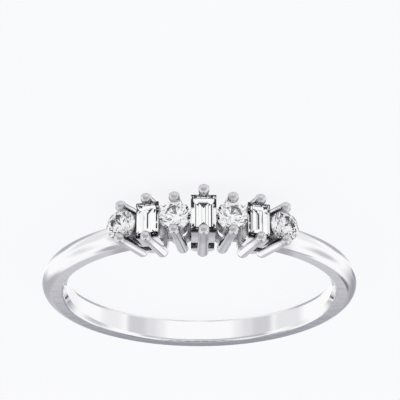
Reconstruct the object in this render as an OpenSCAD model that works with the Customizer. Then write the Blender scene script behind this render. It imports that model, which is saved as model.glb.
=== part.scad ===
// Diamond ring with seven stones side by side: four round brilliants and three
// baguettes, each held by two claws over an open gallery, on a slim domed band.
// The ring lies on its side. The finger axis is +Z through the origin, and the
// stones face -Y.

/* [Band] */
// Diameter of the finger hole
finger_d = 16; // [15:0.5:18]
// Width of the band along the finger axis
band_w = 1.5; // [1.4:0.05:1.8]
// Thickness of the band at the top of its dome
band_t = 1.5; // [1.35:0.05:1.65]
// Height of the band's flat sides, from the finger hole to the crease
side_h = 0.9; // [0.8:0.05:1]
// Radius of the softened inner edges
comfort_r = 0.2; // [0.14:0.02:0.22]

/* [Stones] */
// Diameter of each round stone
round_d = 1.77; // [1.65:0.02:1.85]
// Width of the middle baguette
centre_w = 1.4; // [1.3:0.05:1.5]
// Length of the middle baguette along the finger axis
centre_l = 2.22; // [2.1:0.02:2.5]
// Width of the two side baguettes
side_w = 1.3; // [1.2:0.05:1.4]
// Length of the two side baguettes
side_l = 2.1; // [1.9:0.05:2.4]
// Gap between the middle baguette and the round stones beside it, seen from above
centre_gap = 0.01; // [0:0.01:0.05]
// Gap between the other stones
side_gap = 0.1; // [0.08:0.01:0.14]

/* [Claws] */
// Radius of a claw at its foot
foot_r = 0.34; // [0.3:0.01:0.36]
// Radius of a claw under its bead
neck_r = 0.28; // [0.24:0.01:0.3]
// Radius of the bead on a claw's end
bead_r = 0.32; // [0.3:0.01:0.36]
// Wall of the galleries
wall = 0.2; // [0.15:0.01:0.25]

/* [Hidden] */
$fn = 64;

finger_r = finger_d / 2;
crown_r = finger_r + band_t;
crease_r = finger_r + side_h;

// Levels of a head's base above the finger axis: its top, and its underside before
// the finger's room is cut out of it
base_top = finger_r + 0.72;
base_low = finger_r + 0.15;
// Level of the lowest point of a claw's foot
foot_low = finger_r + 0.25;
// Depth of a gallery under the girdle, as a share of the girdle's height
gallery_share = 0.49;

// The inner face opens towards both edges like a comfort fit. These are the depth of
// the opening along the finger axis, opposite the stones, and how much wider it gets
// for each millimetre outwards
flare_depth = 0.15;
flare_slope = 0.6;
// The openings turn about an axis this far nearer the stones, and so they are deeper
// round the sides
flare_shift = 0.18;
// How far the middle of the soft edge's round lies inside the two faces beside it,
// as a share of its radius
edge_sink = 0.96;

// Clearance between a stone and the metal around it
seat_gap = 0.02;
// How far the galleries stay inside the outline of the stone above them
gallery_inset = 0.04;
// Distance of a bead's middle outside the edge of its stone
claw_out = 0.09;
// Radius of the light hole under each round stone
light_hole_r = 0.42;
// Wall at the two ends of the light hole under each baguette, where the claws stand
end_wall = 0.45;
// Radius of the base under each round stone
round_base_r = 0.7;
// Radius of the rounded underside of a baguette's base
belly_r = 0.78;
// How far the heads, and then the rail, stand clear of the finger
head_lift = 0.28;
rail_lift = 0.31;
// Width and thickness of the rail that joins the bases
rail_w = 0.9;
rail_t = 0.34;
// Angle by which the band runs on under the outer stones, past their middle, and
// by which the rail runs on into the band
band_lap = 1.5;
rail_lap = 2;
// Any length that passes right through a head
through = 4;

// Columns of the stone table
WIDTH = 0;
LENGTH = 1;
HEIGHT = 2;
GAP = 3;

// One row for each stone from the middle outwards: width, length along the
// finger axis, height of the girdle above the finger hole, and gap to the stone
// before. A round stone has no length of its own.
STONES = [
    [centre_w, centre_l, 3.07, 0],
    [round_d, 0, 2.88, centre_gap],
    [side_w, side_l, 2.57, side_gap],
    [round_d, 0, 2.45, side_gap],
];

// Columns of the claw table
BEAD = 0;
LEAN = 1;
SHIFT = 2;

// One row for each stone from the middle outwards: height of the beads above the
// girdle, lean of the claws in degrees more than their stone's, and how far the
// beads stand nearer the middle than their stone
CLAWS = [
    [0.55, 0, 0],
    [0.34, 3, 0],
    [0.38, 6, 0.04],
    [0.33, 8, 0.14],
];

function is_round(s) = s[LENGTH] == 0;
function girdle_r(s) = finger_r + s[HEIGHT];
function half_length(s) = (is_round(s) ? s[WIDTH] : s[LENGTH]) / 2;
function claw_y(s) = half_length(s) + claw_out;
function gallery_bottom(s) = girdle_r(s) - gallery_share * s[HEIGHT];

// Angle of the stone at place i, summed outwards from the middle one
function pitch(a, b) =
    ((a[WIDTH] + b[WIDTH]) / 2 + b[GAP]) * 360 / (PI * (girdle_r(a) + girdle_r(b)));
function stone_angle(i) =
    i == 0 ? 0 : stone_angle(i - 1) + pitch(STONES[i - 1], STONES[i]);

outer_angle = stone_angle(len(STONES) - 1);

// Puts a head's own frame on the ring: x along the row of stones, y along the
// finger axis, and z outwards from the finger axis
module at_head(i, side) {
    rotate([0, 0, side * stone_angle(i)])
        rotate([90, 0, 0])
            children();
}

// Every head, with its rows of the two tables in $stone and $claws and its side
// of the ring in $side
module each_head() {
    for (i = [0 : len(STONES) - 1], side = [-1, 1])
        if (i > 0 || side > 0)
            at_head(i, side) {
                $stone = STONES[i];
                $claws = CLAWS[i];
                $side = side;
                children();
            }
}

// Section of the band: flat sides and a domed crown
module band_section() {
    half_w = band_w / 2;
    dome_h = crown_r - crease_r;
    dome_r = (half_w * half_w + dome_h * dome_h) / (2 * dome_h);
    translate([finger_r, -half_w])
        square([side_h, band_w]);
    intersection() {
        translate([crown_r - dome_r, 0])
            circle(r = dome_r);
        translate([crease_r, -half_w])
            square([dome_h, band_w]);
    }
}

// Section of the upper opening: a slope up from the inner face, then a soft edge
module flare_section() {
    half_w = band_w / 2;
    lean = atan(flare_slope);
    up = [sin(lean), cos(lean)];
    out = [cos(lean), -sin(lean)];
    start = [finger_r + flare_shift, half_w - flare_depth];
    sink = edge_sink * comfort_r;
    run = (half_w - sink - start.y - sink * out.y) / up.y;
    bend = start + run * up;
    edge = bend + sink * out;
    low = start - half_w * up;
    inside = finger_r - band_w;
    difference() {
        polygon([[inside, low.y], low, bend, edge, [edge.x, band_w], [inside, band_w]]);
        translate(edge)
            circle(r = comfort_r);
    }
}

// The band runs from one outer head round to the other
module band() {
    end = outer_angle - band_lap;
    difference() {
        rotate([0, 0, end - 90])
            rotate_extrude(angle = 360 - 2 * end, $fn = 180)
                band_section();
        for (side = [0, 1])
            translate([0, -flare_shift, 0])
                mirror([0, 0, side])
                    rotate_extrude($fn = 180)
                        flare_section();
    }
}

// A rail under the heads closes the ring
module rail() {
    reach = outer_angle + rail_lap;
    rotate([0, 0, -90 - reach])
        rotate_extrude(angle = 2 * reach, $fn = 180)
            translate([finger_r + rail_lift, -rail_w / 2])
                square([rail_t, rail_w]);
}

// A claw hangs from the middle of its bead, and its round foot is its thickest part
module claw(length) {
    rotate_extrude()
        intersection() {
            translate([0, -through])
                square(2 * through);
            union() {
                circle(r = bead_r);
                polygon([[0, 0], [neck_r, 0], [foot_r, -length], [0, -length]]);
                translate([0, -length])
                    circle(r = foot_r);
            }
        }
}

// Outer form of the galleries under a baguette
module baguette_gallery(s) {
    plan = [s[WIDTH] - 2 * gallery_inset, s[LENGTH]];
    translate([0, 0, gallery_bottom(s)])
        linear_extrude(girdle_r(s) - gallery_bottom(s))
            square(plan, center = true);
    rotate([90, 0, 0])
        linear_extrude(plan.y, center = true)
            intersection() {
                translate([-plan.x / 2, 0])
                    square([plan.x, base_top]);
                translate([0, base_low + belly_r])
                    circle(r = belly_r);
            }
}

// Outer form of the galleries under a round stone
module round_gallery(s) {
    translate([0, 0, gallery_bottom(s)])
        cylinder(
            h = girdle_r(s) - gallery_bottom(s),
            r1 = light_hole_r + wall,
            r2 = s[WIDTH] / 2 - gallery_inset
        );
    translate([0, 0, base_low])
        cylinder(h = base_top - base_low, r = round_base_r);
}

// Light hole through the galleries
module light_hole(s) {
    if (is_round(s))
        cylinder(h = girdle_r(s), r = light_hole_r);
    else
        linear_extrude(girdle_r(s))
            square([s[WIDTH] - 2 * (gallery_inset + wall), s[LENGTH] - 2 * end_wall], center = true);
}

module gallery(s) {
    if (is_round(s)) round_gallery(s);
    else baguette_gallery(s);
}

// The two claws of a stone lean together, so that their feet stand nearer the middle
module claws() {
    top = girdle_r($stone) + $claws[BEAD];
    for (end = [-1, 1])
        translate([-$side * $claws[SHIFT], end * claw_y($stone), top])
            rotate([0, $side * $claws[LEAN], 0])
                claw(top - foot_low - foot_r);
}

// Band, rail, galleries and claws are cast and soldered into one piece
module ring_mount() {
    color("gainsboro")
        difference() {
            union() {
                band();
                rail();
                difference() {
                    each_head() {
                        gallery($stone);
                        claws();
                    }
                    cylinder(h = through, r = finger_r + head_lift, center = true);
                }
            }
            each_head() light_hole($stone);
            each_head() seat($stone);
        }
}

// Cut of the round stones, as shares of the diameter
table_share = 0.57;
crown_share = 0.15;
girdle_share = 0.03;
pavilion_share = 0.43;
// How far the star tips and the lower tips lie out, as shares of the radius
star_share = 0.76;
lower_share = 0.23;
half_step = 180 / 8;

// Levels of a brilliant of radius r, measured from the middle of its girdle
function girdle_h(r) = girdle_share * r;
function table_h(r) = girdle_h(r) + 2 * crown_share * r;
function culet_h(r) = -girdle_h(r) - 2 * pavilion_share * r;
// The tips lie where the main facets stay flat
function star_h(r) =
    let (run = star_share * cos(half_step) - table_share)
    table_h(r) - 2 * crown_share * r * run / (1 - table_share);
function lower_h(r) =
    culet_h(r) + 2 * pavilion_share * r * lower_share * cos(half_step);

// Points spaced evenly on a circle at one level
function circle_points(n, r, h, turn = 0) =
    [for (k = [0 : n - 1]) [r * cos(turn + k * 360 / n), r * sin(turn + k * 360 / n), h]];

// Round brilliant: table, 8 stars, 8 kites, 16 upper and 16 lower girdle facets,
// and 8 pavilion mains
module brilliant(r) {
    table = 0;
    star = 8;
    upper = 16;
    lower = 32;
    tip = 48;
    culet = 56;
    points = concat(
        circle_points(8, table_share * r, table_h(r)),
        circle_points(8, star_share * r, star_h(r), half_step),
        circle_points(16, r, girdle_h(r)),
        circle_points(16, r, -girdle_h(r)),
        circle_points(8, lower_share * r, lower_h(r), half_step),
        [[0, 0, culet_h(r)]]
    );
    function next(k) = (k + 1) % 8;
    function last(k) = (k + 7) % 8;
    faces = concat(
        [[for (k = [7 : -1 : 0]) table + k]],
        [for (k = [0 : 7]) [table + k, table + next(k), star + k]],
        [for (k = [0 : 7]) [table + k, star + k, upper + 2 * k, star + last(k)]],
        [for (k = [0 : 7]) [star + k, upper + 2 * k + 1, upper + 2 * k]],
        [for (k = [0 : 7]) [star + k, upper + 2 * next(k), upper + 2 * k + 1]],
        [for (k = [0 : 15]) let (m = (k + 1) % 16) [upper + k, upper + m, lower + m, lower + k]],
        [for (k = [0 : 7]) [lower + 2 * k, lower + 2 * k + 1, tip + k]],
        [for (k = [0 : 7]) [lower + 2 * k + 1, lower + 2 * next(k), tip + k]],
        [for (k = [0 : 7]) [lower + 2 * k, tip + k, culet, tip + last(k)]]
    );
    polyhedron(points = points, faces = faces, convexity = 2);
}

// Space that a round stone takes, grown by the clearance
module round_seat(r) {
    g = seat_gap;
    rotate_extrude()
        polygon([
            [0, culet_h(r) - g],
            [lower_share * r + g, lower_h(r) - g],
            [r + g, -girdle_h(r) - g],
            [r + g, girdle_h(r) + g],
            [star_share * r + g, star_h(r) + g],
            [table_share * r + g, table_h(r) + g],
            [0, table_h(r) + g]
        ]);
}

// Steps of a baguette from the table down to the keel: how far in from the
// girdle, as a share of half the width, and how high, as a share of the width
INSET = 0;
RISE = 1;
STEPS = [
    [0.34, 0.15],
    [0.17, 0.11],
    [0, 0.025],
    [0, -0.025],
    [0.25, -0.25],
    [0.6, -0.47],
    [1, -0.62],
];

// One side of a baguette's outline, seen along its width or its length
function step_points(w, half, side, g) =
    [for (step = STEPS)
        [side * (half - step[INSET] * w / 2 + g), step[RISE] * w + (step[RISE] > 0 ? g : -g)]];
function reversed(list) = [for (k = [len(list) - 1 : -1 : 0]) list[k]];

module baguette_outline(w, half, g) {
    polygon(concat(step_points(w, half, 1, g), reversed(step_points(w, half, -1, g))));
}

// A baguette's facets all run along its width or its length, so the stone is
// what two straight bars have in common
module baguette(w, l, g = 0) {
    intersection() {
        rotate([90, 0, 0])
            linear_extrude(through, center = true)
                baguette_outline(w, w / 2, g);
        rotate([90, 0, 90])
            linear_extrude(through, center = true)
                baguette_outline(w, l / 2, g);
    }
}

module seat(s) {
    translate([0, 0, girdle_r(s)])
        if (is_round(s)) round_seat(s[WIDTH] / 2);
        else baguette(s[WIDTH], s[LENGTH], seat_gap);
}

module stone(i, side) {
    color("white")
        at_head(i, side)
            translate([0, 0, girdle_r(STONES[i])])
                if (is_round(STONES[i])) brilliant(STONES[i][WIDTH] / 2);
                else baguette(STONES[i][WIDTH], STONES[i][LENGTH]);
}

ring_mount();
stone(3, 1);  // round_1
stone(2, 1);  // baguette_2
stone(1, 1);  // round_3
stone(0, 1);  // baguette_4
stone(1, -1);  // round_5
stone(2, -1);  // baguette_6
stone(3, -1);  // round_7
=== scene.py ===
# %% [markdown]
# This lesson dresses a slim white gold ring. Seven small diamonds stand in a row on it,
# four round ones and three baguettes. The exact solids come from elsewhere, and their
# shapes are right, so nothing is modelled twice: each solid stays where it is and gets
# the finish that a jeweller's bench would give it. Sizes are in metres, in the ring's own
# frame, except where a line says otherwise.

# %% Load the solids of the ring
import math

import bpy
from mathutils import Matrix, Vector


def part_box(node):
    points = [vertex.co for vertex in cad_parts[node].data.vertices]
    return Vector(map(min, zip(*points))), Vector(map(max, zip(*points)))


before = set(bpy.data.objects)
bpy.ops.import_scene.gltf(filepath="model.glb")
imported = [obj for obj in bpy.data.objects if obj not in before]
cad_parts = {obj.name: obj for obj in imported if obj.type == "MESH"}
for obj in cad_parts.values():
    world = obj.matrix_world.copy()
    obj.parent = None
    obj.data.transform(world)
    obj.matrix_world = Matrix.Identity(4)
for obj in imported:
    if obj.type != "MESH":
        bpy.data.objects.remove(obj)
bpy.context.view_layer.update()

print("solids:", sorted(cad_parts))

# %% [markdown]
# The ring lies on its side, with the finger axis upright and the stones towards -Y. The
# camera stands in front of the stones, above the floor, and looks down at them through
# a long lens, which keeps the ring's curve calm. It is held upside down, so that the
# stones come to the top of the picture. One matrix holds all of this: a turn about the
# finger axis, then the place, then the dip of the lens, then the half turn.

# %% Camera
PICTURE = 400                      # side of the picture, in pixels
FOCAL_PX = 1814.6                  # focal length, in pixels of that picture
AXIS_PX = 199.3                    # column of the picture where the finger axis stands
FILM = 36                          # width of the film, in millimetres
NEAREST = 0.001                    # the camera sees nothing that is nearer
CAMERA_FRONT = 0.1026              # from the finger axis to the camera, level
CAMERA_UP = 0.0395                 # from the middle of the band up to the camera
CAMERA_TURN = math.radians(1.24)   # round the finger axis
CAMERA_DIP = math.radians(23.77)   # below level


def make_camera():
    lens = bpy.data.cameras.new("Camera")
    lens.sensor_width = FILM
    lens.lens = FOCAL_PX / PICTURE * FILM
    lens.shift_x = (PICTURE / 2 - AXIS_PX) / PICTURE
    lens.clip_start = NEAREST
    camera = bpy.data.objects.new("Camera", lens)
    bpy.context.scene.collection.objects.link(camera)
    camera.matrix_world = (
        Matrix.Rotation(CAMERA_TURN, 4, "Z")
        @ Matrix.Translation((0, -CAMERA_FRONT, CAMERA_UP))
        @ Matrix.Rotation(math.pi / 2 - CAMERA_DIP, 4, "X")
        @ Matrix.Rotation(math.pi, 4, "Z")
    )
    bpy.context.scene.camera = camera
    return camera


camera = make_camera()
print("camera at", [round(v * 1000, 1) for v in camera.matrix_world.translation], "mm")

# %% [markdown]
# A ring that lies by itself touches the table at the feet of its claws and at the far
# edge of the band, so the table leans a little in the ring's own frame. The lean could
# be typed in, but the solids already know it: seen along the row of stones, it is the
# line under the outline that carries the ring's middle.

# %% How the ring rests
TRIES = 4                # rounds in which the line settles on its two points


def resting_line(node):
    """Height under the finger axis and slope of the line that the ring rests on."""
    points = [(v.co.y, v.co.z) for v in node.data.vertices]
    slope = 0.0
    for _ in range(TRIES):
        front = min((p for p in points if p[0] < 0), key=lambda p: p[1] - slope * p[0])
        back = min((p for p in points if p[0] > 0), key=lambda p: p[1] - slope * p[0])
        slope = (back[1] - front[1]) / (back[0] - front[0])
    return front[1] - slope * front[0], slope


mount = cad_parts["ring_mount"]
table_height, table_slope = resting_line(mount)
print(f"table {table_height * 1000:.2f} mm under the finger axis's middle,",
      f"leaning {math.degrees(math.atan(table_slope)):.2f} degrees")

# %% [markdown]
# Shaders are easier to read as sums than as boxes and lines. A wire stands for one
# number that varies over a surface, and a sum on wires adds the Math nodes for it.

# %% Wires
class Wire:
    """A number in a shader: sums on it add Math nodes."""

    def __init__(self, graph, socket):
        self.graph = graph
        self.socket = socket

    def math(self, operation, *values):
        return self.graph.math(operation, self, *values)

    def __add__(self, other):
        return self.math("ADD", other)

    def __radd__(self, other):
        return self.graph.math("ADD", other, self)

    def __sub__(self, other):
        return self.math("SUBTRACT", other)

    def __rsub__(self, other):
        return self.graph.math("SUBTRACT", other, self)

    def __mul__(self, other):
        return self.math("MULTIPLY", other)

    def __rmul__(self, other):
        return self.graph.math("MULTIPLY", other, self)

    def __abs__(self):
        return self.math("ABSOLUTE")


print("wires ready")

# %% [markdown]
# A graph holds the nodes of one material. One method adds any node: first its settings,
# then its sockets. The others are short names for what the finishes need most: soft
# steps, two mixed colours, the parts of a direction, and noise for all that is uneven.

# %% Graphs
class Graph:
    """The nodes of one material or world."""

    def __init__(self, owner):
        owner.use_nodes = True
        self.tree = owner.node_tree
        self.tree.nodes.clear()

    def node(self, kind, settings=None, sockets=None):
        """Adds a node, sets it up, and then fills its sockets with values or wires."""
        node = self.tree.nodes.new(kind)
        for name, value in (settings or {}).items():
            setattr(node, name, value)
        for name, value in (sockets or {}).items():
            source = value.socket if isinstance(value, Wire) else value
            if isinstance(source, bpy.types.NodeSocket):
                self.tree.links.new(source, node.inputs[name])
            else:
                node.inputs[name].default_value = source
        return node

    def wire(self, node, output=0):
        return Wire(self, node.outputs[output])

    def math(self, operation, *values):
        sockets = dict(enumerate(values))
        return self.wire(self.node("ShaderNodeMath", {"operation": operation}, sockets))

    def step(self, value, low, high):
        """0 below low, 1 above high, and a soft rise between them."""
        node = self.node(
            "ShaderNodeMapRange",
            {"interpolation_type": "SMOOTHSTEP"},
            {"Value": value, "From Min": low, "From Max": high},
        )
        return self.wire(node)

    def above(self, value, limit, soft):
        return self.step(value, limit - soft, limit + soft)

    def below(self, value, limit, soft):
        return 1 - self.above(value, limit, soft)

    def between(self, value, low, high, soft):
        """1 from low to high and 0 elsewhere, with soft edges."""
        return self.above(value, low, soft) * self.below(value, high, soft)

    def mix(self, amount, a, b):
        """Colour a where amount is 0, and colour b where it is 1."""
        node = self.node("ShaderNodeMix", {"data_type": "RGBA"}, {0: amount, 6: a, 7: b})
        return node.outputs[2]

    def xyz(self, vector):
        node = self.node("ShaderNodeSeparateXYZ", {}, {0: vector})
        return [self.wire(node, k) for k in range(3)]

    def vector(self, x, y, z):
        return self.node("ShaderNodeCombineXYZ", {}, {0: x, 1: y, 2: z}).outputs[0]

    def dot(self, a, b):
        node = self.node("ShaderNodeVectorMath", {"operation": "DOT_PRODUCT"}, {0: a, 1: b})
        return self.wire(node, 1)

    def noise(self, place, scale, detail=2.0):
        sockets = {"Vector": place, "Scale": scale, "Detail": detail}
        return self.wire(self.node("ShaderNodeTexNoise", {}, sockets))


print("graphs ready")

# %% [markdown]
# Polished metal shows nothing but its surroundings, so the light is the first half of
# its finish. Jewellers photograph rings in a tent of white cloth, with a grey card
# behind the piece and a dimmer front: without them the metal would be as white as the
# tent and lose its edges. The card is the grey of the claws and of the band's flat side.
# The seams at both sides are the soft grey bars inside the band, the cloth low behind
# the ring is the rim along its shoulders, and the open top is the dark of the flat side
# when it is seen from above.
#
# Lamps and real cards would do, but they leave noise and stray hard glints. Here the
# tent is the world itself, painted by direction, and it gives a clean soft light. Each
# row below is one patch of the tent. Azimuths run from -180 to 180 degrees, with 0
# straight behind the ring and the picture's left at 90. A later patch lies over an
# earlier one.

# %% The patches of the tent
# Each patch: azimuth from and to, height from and to and softness of the edges, all in
# degrees, and how light it is
METAL_TENT = {
    "low cloth": (-200, 200, -95, -40, 6, 0.86),
    "low cloth, left": (76, 108, -45, -8, 6, 0.82),
    "low cloth, right": (-108, -84, -45, -12, 6, 0.88),
    "low cloth, behind": (-60, 60, -51, -28, 5, 0.47),
    "clear cloth, behind": (-12, 12, -95, -24, 5, 0.95),
    "gap under the ring": (-200, 200, -95, -75, 5, 0.50),
    "front, left": (114, 200, -13, 47, 5, 0.50),
    "front, right": (-200, -126, -13, 47, 5, 0.56),
    "high front, left": (150, 200, 47, 66, 5, 0.72),
    "high front, right": (-200, -150, 47, 66, 5, 0.72),
    "low front, left": (150, 200, -62, -32, 5, 0.48),
    "low front, right": (-200, -160, -62, -38, 5, 0.54),
    "cloth under the lens, left": (166, 200, -95, -27, 4, 0.95),
    "cloth under the lens, right": (-200, -166, -95, -27, 4, 0.95),
    "seam, left, far": (112, 148, -42, -14, 4, 0.88),
    "seam, left, middle": (112, 140, -42, -14, 4, 0.77),
    "seam, left": (112, 130, -42, -14, 4, 0.65),
    "seam, right, far": (-151, -115, -42, -14, 4, 0.88),
    "seam, right, middle": (-143, -115, -42, -14, 4, 0.77),
    "seam, right": (-132, -115, -42, -14, 4, 0.65),
    "wall, left": (75, 92, 5, 33, 9, 0.78),
    "wall, right": (-92, -66, 8, 33, 9, 0.60),
    "fold, left": (8, 84, 51, 66, 4, 0.44),
    "fold, right": (-47, 8, 44, 66, 3, 0.50),
    "top of the fold": (-45, 6, 53, 63, 2, 0.20),
    "card": (-30, 33, -18, 50, 2.5, 0.60),
    "side of the card, left": (16, 39, -13, 28, 8, 0.46),
    "side of the card, right": (-46, -12, -13, 17, 13, 0.35),
    "gap over the card, left": (25, 60, 31, 47, 4, 0.98),
    "gap over the card, right": (-64, -29, 27, 44, 3, 1.00),
    "crease of the card, left": (13, 18, 29, 41, 1.5, 0.20),
    "crease of the card, right": (-19, -13, 29, 39, 1.5, 0.15),
    "edge of the card, right": (-26, -18, 17, 28, 3, 0.22),
    "slot in the card": (-7, 7, 10, 20.2, 1.2, 0.30),
    "foot of the card": (-42, -28, -17, -8, 3, 0.30),
    "opening at the top": (-200, 200, 74, 95, 3, 0.12),
}
# The stones look better with more contrast, so the light that comes through them is
# that of a whiter tent, with a wider shadow round the lens
STONE_TENT = {
    "card": (-33, 33, -24, 50, 4, 0.50),
    "strip, right": (-170, -162.5, -38, -10, 1.5, 0.62),
    "side, right": (-147, -130, -40, -8, 3, 0.50),
}
print(len(METAL_TENT), "patches for the metal and", len(STONE_TENT), "for the stones")

# %% [markdown]
# A patch is a product of two soft steps, one in azimuth and one in height. Both tents
# end in the round shadow of the lens, which gives each bead its small dark point.

# %% Painting a tent
METAL_LENS = (5, 1.5, 0.02)        # half width and softness in degrees, and lightness
STONE_LENS = (14, 3, 0.02)


def painted_tent(g, way, patches, lens):
    """How light the tent is in each direction."""
    x, y, z = g.xyz(way)
    azimuth = g.math("ARCTAN2", x, y)
    height = z.math("ARCSINE")
    light = 1.0
    for left, right, low, high, soft, tone in patches.values():
        left, right, low, high, soft = (math.radians(v) for v in (left, right, low, high, soft))
        inside = g.between(azimuth, left, right, soft) * g.between(height, low, high, soft)
        light = light + inside * (tone - light)
    half, soft, tone = lens
    to_lens = tuple(camera.matrix_world.translation.normalized())
    off_lens = g.dot(way, to_lens).math("ARCCOSINE")
    inside = g.below(off_lens, math.radians(half), math.radians(soft))
    return light + inside * (tone - light)


print("lens shadows", METAL_LENS[0] * 2, "and", STONE_LENS[0] * 2, "degrees wide")

# %% [markdown]
# A ray that has just come out of a stone sees the second tent, and all others see the
# first. Cloth in shadow leans to blue, as it does in a real tent.

# %% The tent
SHADE = (0.0, 0.0, 0.06, 1)        # the colour that cloth in shadow leans to
CLOTH = (1.0, 1.0, 1.0, 1)
TENT_LIGHT = 1.04


def make_tent():
    world = bpy.data.worlds.new("Tent")
    g = Graph(world)
    way = g.node("ShaderNodeTexCoord").outputs["Generated"]
    for_metal = painted_tent(g, way, METAL_TENT, METAL_LENS)
    for_stones = painted_tent(g, way, STONE_TENT, STONE_LENS)
    through = g.wire(g.node("ShaderNodeLightPath"), "Is Transmission Ray")
    light = for_metal + through * (for_stones - for_metal)
    sockets = {"Color": g.mix(light, SHADE, CLOTH), "Strength": TENT_LIGHT}
    glow = g.node("ShaderNodeBackground", {}, sockets)
    g.node("ShaderNodeOutputWorld", {}, {"Surface": glow.outputs[0]})
    bpy.context.scene.world = world


make_tent()
print("tent made")

# %% [markdown]
# The table is a sheet of opal glass with light coming up through it, which keeps the
# ring's shadow pale. On a painted board it would be darker. The metal and the stones
# don't mirror the table: they see the tent on every side.

# %% The opal table
TABLE_SIDE = 0.6
CORNERS = ((-1, -1), (1, -1), (1, 1), (-1, 1))
OPAL_DIM = (0.1287, 0.12935, 0.13065, 1)
OPAL_BRIGHT = (0.13, 0.13065, 0.13195, 1)
OPAL_CLOUDS = 40.0                 # clouds in the opal, per metre
OPAL_GLOW = (0.99, 0.993, 1.01, 1)
GLOW_STRENGTH = 0.865


def opal_glass():
    material = bpy.data.materials.new("opal glass")
    g = Graph(material)
    place = g.node("ShaderNodeTexCoord").outputs["Object"]
    glass = g.node(
        "ShaderNodeBsdfPrincipled",
        {},
        {
            "Base Color": g.mix(g.noise(place, OPAL_CLOUDS), OPAL_DIM, OPAL_BRIGHT),
            "Roughness": 1.0,
            "Specular IOR Level": 0.0,
            "Emission Color": OPAL_GLOW,
            "Emission Strength": GLOW_STRENGTH,
        },
    )
    g.node("ShaderNodeOutputMaterial", {}, {"Surface": glass.outputs[0]})
    return material


def make_table():
    corners = [(x * TABLE_SIDE / 2, y * TABLE_SIDE / 2, 0) for x, y in CORNERS]
    sheet = bpy.data.meshes.new("table")
    sheet.from_pydata(corners, [], [(0, 1, 2, 3)])
    sheet.materials.append(opal_glass())
    table = bpy.data.objects.new("table", sheet)
    bpy.context.scene.collection.objects.link(table)
    table.location = (0, 0, table_height)
    table.rotation_euler = (math.atan(table_slope), 0, 0)
    table.visible_glossy = False
    table.visible_transmission = False


make_table()
print("table laid")

# %% [markdown]
# The metal isn't equally bright all over. The beads are rounded by a small cup tool
# after the stones are set, so they shine softer, and their colour is set a little greyer
# than the band's. Inside the galleries no wheel gets in, and the metal stays duller.
# Their colour also carries painted shade: darkest under the baguettes, where the gallery
# is narrow and little light gets in, and paler under the round stones, where a light hole
# lets light right through. These places could be painted on the mesh, but where they lie
# is enough to tell them apart: how far from the finger axis, how far along the row, and
# how far from the middle of the band.

# %% Where the metal is duller, and where shade is painted
BEADS_FROM = 0.0104          # the claws turn soft this far from the finger axis
BEADS_FADE = 0.0003
ROW_HALF = 0.0050            # half the length of the row of galleries
ROW_TOP_Y = -0.0064          # level of the galleries' feet
ROW_FADE = 0.0004
GALLERY_HALF = 0.00089       # half the width of a gallery, along the finger axis
ACROSS_FADE = 0.00009
# Along the row: half the width of the middle baguette's gallery, and where those of the
# side baguettes begin and end
MIDDLE_GALLERY = 0.00074
SIDE_GALLERY = (0.00240, 0.00375)
ALONG_FADE = 0.00006


def dull_and_shaded_places(g, x, y, z, radius):
    """How much of a bead, a gallery and a baguette's gallery each point is: galleries get a duller
    polish and painted shade.
    """
    beads = g.above(radius, BEADS_FROM, BEADS_FADE)
    row = g.below(abs(x), ROW_HALF, ROW_FADE) * g.below(y, ROW_TOP_Y, ROW_FADE)
    gallery = row * g.below(abs(z), GALLERY_HALF, ACROSS_FADE)
    narrow = g.below(abs(x), MIDDLE_GALLERY, ALONG_FADE)
    narrow = narrow + g.between(abs(x), *SIDE_GALLERY, ALONG_FADE)
    return beads, gallery, narrow


print("beads begin", BEADS_FROM * 1000, "mm from the finger axis")

# %% [markdown]
# White gold is plated with rhodium, a cool and very bright metal. The polishing wheel
# leaves the finest of lines round the band, too shallow to see one by one, and a
# faintly uneven face. A flawless mirror looks drawn rather than made, so noise that runs
# round the band gives the lines, and coarser noise gives the haze and the waves.

# %% White gold
RHODIUM_DIM = (0.90, 0.90, 0.915, 1)
RHODIUM_BRIGHT = (0.93, 0.93, 0.945, 1)
BEAD_GREY = (0.73, 0.73, 0.745, 1)
# Painted shade inside the galleries: paler under the round stones, deep under the baguettes
GALLERY_PALE_SHADE = (0.72, 0.72, 0.74, 1)
GALLERY_DEEP_SHADE = (0.22, 0.22, 0.235, 1)
HAZE_SCALE = 600.0           # of the haze, the lines and the waves, per metre
LINES_SCALE = 9000
WAVES_SCALE = 1500.0
WAVES_HEIGHT = 2.5e-6
POLISH = 0.03                # roughness of the wheel's polish
HAZE_ROUGH = 0.03            # what haze, lines, beads and galleries add to it
LINES_ROUGH = 0.03
BEADS_ROUGH = 0.11
GALLERY_ROUGH = 0.25


def white_gold():
    material = bpy.data.materials.new("polished white gold")
    g = Graph(material)
    place = g.node("ShaderNodeTexCoord").outputs["Object"]
    x, y, z = g.xyz(place)
    radius = (x * x + y * y).math("SQRT")
    beads, gallery, narrow = dull_and_shaded_places(g, x, y, z, radius)
    haze = g.noise(place, HAZE_SCALE, detail=3.0)
    round_band = g.vector(radius * LINES_SCALE, z * LINES_SCALE, 0.0)
    lines = g.noise(round_band, scale=1.0)
    waves = g.noise(place, WAVES_SCALE, detail=1.0)
    polished = g.mix(beads, g.mix(haze, RHODIUM_DIM, RHODIUM_BRIGHT), BEAD_GREY)
    # painted shade for the galleries, paler or deep
    gallery_shade = g.mix(narrow, GALLERY_PALE_SHADE, GALLERY_DEEP_SHADE)
    rough = POLISH + HAZE_ROUGH * haze + LINES_ROUGH * lines
    rough = rough + BEADS_ROUGH * beads + GALLERY_ROUGH * gallery
    uneven = g.node("ShaderNodeBump", {}, {"Height": waves, "Strength": 1.0, "Distance": WAVES_HEIGHT})
    shine = g.node(
        "ShaderNodeBsdfPrincipled",
        {},
        {
            "Base Color": g.mix(gallery, polished, gallery_shade),
            "Metallic": 1.0,
            "Roughness": rough,
            "Normal": uneven.outputs[0],
        },
    )
    g.node("ShaderNodeOutputMaterial", {}, {"Surface": shine.outputs[0]})
    return material


mount.material_slots[0].material = white_gold()
print("mount polished")

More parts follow.
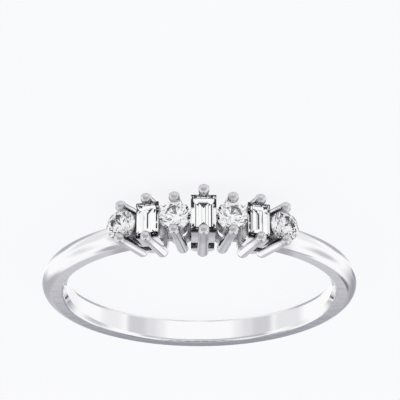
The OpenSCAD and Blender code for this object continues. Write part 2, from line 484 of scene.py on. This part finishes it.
# %% [markdown]
# Diamond bends light more than any other clear stone, and its facets are polished as
# flat as glass can be. Only the girdle, the thin rim that the claws hold, is left
# frosted. The wide flat tables of the baguettes mirror the white tent, as a pale veil
# over the dark lines inside. A black card in front of them would take the veil off, but
# the inside of the band would mirror the card too, so their surface mirrors less
# instead.

# %% Clear diamond
DIAMOND_IOR = 2.417
CLEAR_DIM = (0.97, 0.975, 0.99, 1)
CLEAR_BRIGHT = (1.0, 1.0, 1.0, 1)
CLEAR_CLOUDS = 900.0         # faint clouds, per metre
GIRDLE_LEAN = (0.08, 0.10)   # the girdle's normals lean out of its plane by less than this
GIRDLE_ROUGH = 0.35
# How much of its mirror image each cut keeps on its surface
GLARE = {"round": (0.8, 0.8, 0.8, 1), "baguette": (0.3, 0.3, 0.3, 1)}


def clear_diamond(g, place, lean, cut):
    girdle = 1 - g.step(abs(lean), *GIRDLE_LEAN)
    clear = g.node(
        "ShaderNodeBsdfPrincipled",
        {},
        {
            "Base Color": g.mix(g.noise(place, CLEAR_CLOUDS), CLEAR_DIM, CLEAR_BRIGHT),
            "Roughness": GIRDLE_ROUGH * girdle,
            "IOR": DIAMOND_IOR,
            "Specular Tint": GLARE[cut],
            "Transmission Weight": 1.0,
        },
    )
    return clear.outputs[0]


print("glare kept:", {cut: glare[0] for cut, glare in GLARE.items()})

# %% [markdown]
# A baguette is cut in steps. The narrow steps at its two ends throw their light away
# sideways and show as dark lines with bright edges between them, from nearly every
# side. Rendered light alone finds only some of that, so painted shade, a near black sheet
# mixed over the clear stone, lies along the middle of each end step. A facet is told by its
# normal, in the stone's own directions.

# %% Painted shade at the baguettes' ends
END_STEPS = (0.30, 0.34)     # an end step's normal, along the stone's length, is above this
CROWN_STEPS = (0.60, 0.95)   # a crown step's normal, along the stone's own axis
CROWN_FADE = 0.02
# Where the two dark lines lie, as shares of half the stone's length
DARK_LINES = ((0.815, 0.865), (0.915, 0.985))
LINES_FADE = 0.004
# Painted shade: the near black sheet over the end steps, and how it shines
PAINTED_SHADE = (0.010, 0.010, 0.022, 1)
PAINTED_SHADE_ROUGH = 0.10
PAINTED_SHADE_GLARE = 0.1
PAINTED_SHADE_COVER = 0.95            # how much of the clear stone the painted shade hides


def painted_shade_ends(g, clear, place, lean, normal, half_long):
    """The clear stone with its dark lines of painted shade."""
    along = abs(g.xyz(place)[2])
    lines = 0.0
    for near, far in DARK_LINES:
        lines = lines + g.between(along, near * half_long, far * half_long, LINES_FADE * half_long)
    endwise = g.step(abs(g.xyz(normal)[2]), *END_STEPS)
    lines = lines * endwise * g.between(lean, *CROWN_STEPS, CROWN_FADE)
    sockets = {"Base Color": PAINTED_SHADE, "Roughness": PAINTED_SHADE_ROUGH, "Specular IOR Level": PAINTED_SHADE_GLARE}
    dark = g.node("ShaderNodeBsdfPrincipled", {}, sockets)
    both = g.node("ShaderNodeMixShader", {}, {0: lines * PAINTED_SHADE_COVER, 1: clear, 2: dark.outputs[0]})
    return both.outputs[0]


print(len(DARK_LINES), "dark lines at each end")

# %% [markdown]
# Each stone looks out from the finger axis in its own direction, and its facets are told
# apart by how far they lean from it. One material for all would need the directions
# stored on the meshes, so every stone gets its own, made by one function.

# %% Diamonds
def stone_axis(node):
    """The direction in which a stone looks, and half its length."""
    low, high = (Vector(corner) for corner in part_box(node.name))
    centre = (low + high) / 2
    return Vector((centre.x, centre.y, 0)).normalized(), (high.z - low.z) / 2


def diamond(node, cut):
    material = bpy.data.materials.new("diamond " + node.name)
    g = Graph(material)
    outwards, half_long = stone_axis(node)
    place = g.node("ShaderNodeTexCoord").outputs["Object"]
    normal = g.node("ShaderNodeNewGeometry").outputs["True Normal"]
    lean = g.dot(normal, tuple(outwards))
    shader = clear_diamond(g, place, lean, cut)
    if cut == "baguette":
        shader = painted_shade_ends(g, shader, place, lean, normal, half_long)
    g.node("ShaderNodeOutputMaterial", {}, {"Surface": shader})
    return material


for name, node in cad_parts.items():
    if node is not mount:
        node.material_slots[0].material = diamond(node, name.split("_")[0])
        print(name, "polished")

# %% [markdown]
# The picture keeps the tones of the scene as they are, so that the white of the table
# stays white. Light needs many turns inside a stone before it finds its way out.

# %% Tones and turns of light
STONE_TURNS = 24
bpy.context.scene.view_settings.view_transform = "Standard"
bpy.context.scene.cycles.max_bounces = STONE_TURNS
bpy.context.scene.cycles.transmission_bounces = STONE_TURNS
print("light may turn", STONE_TURNS, "times")
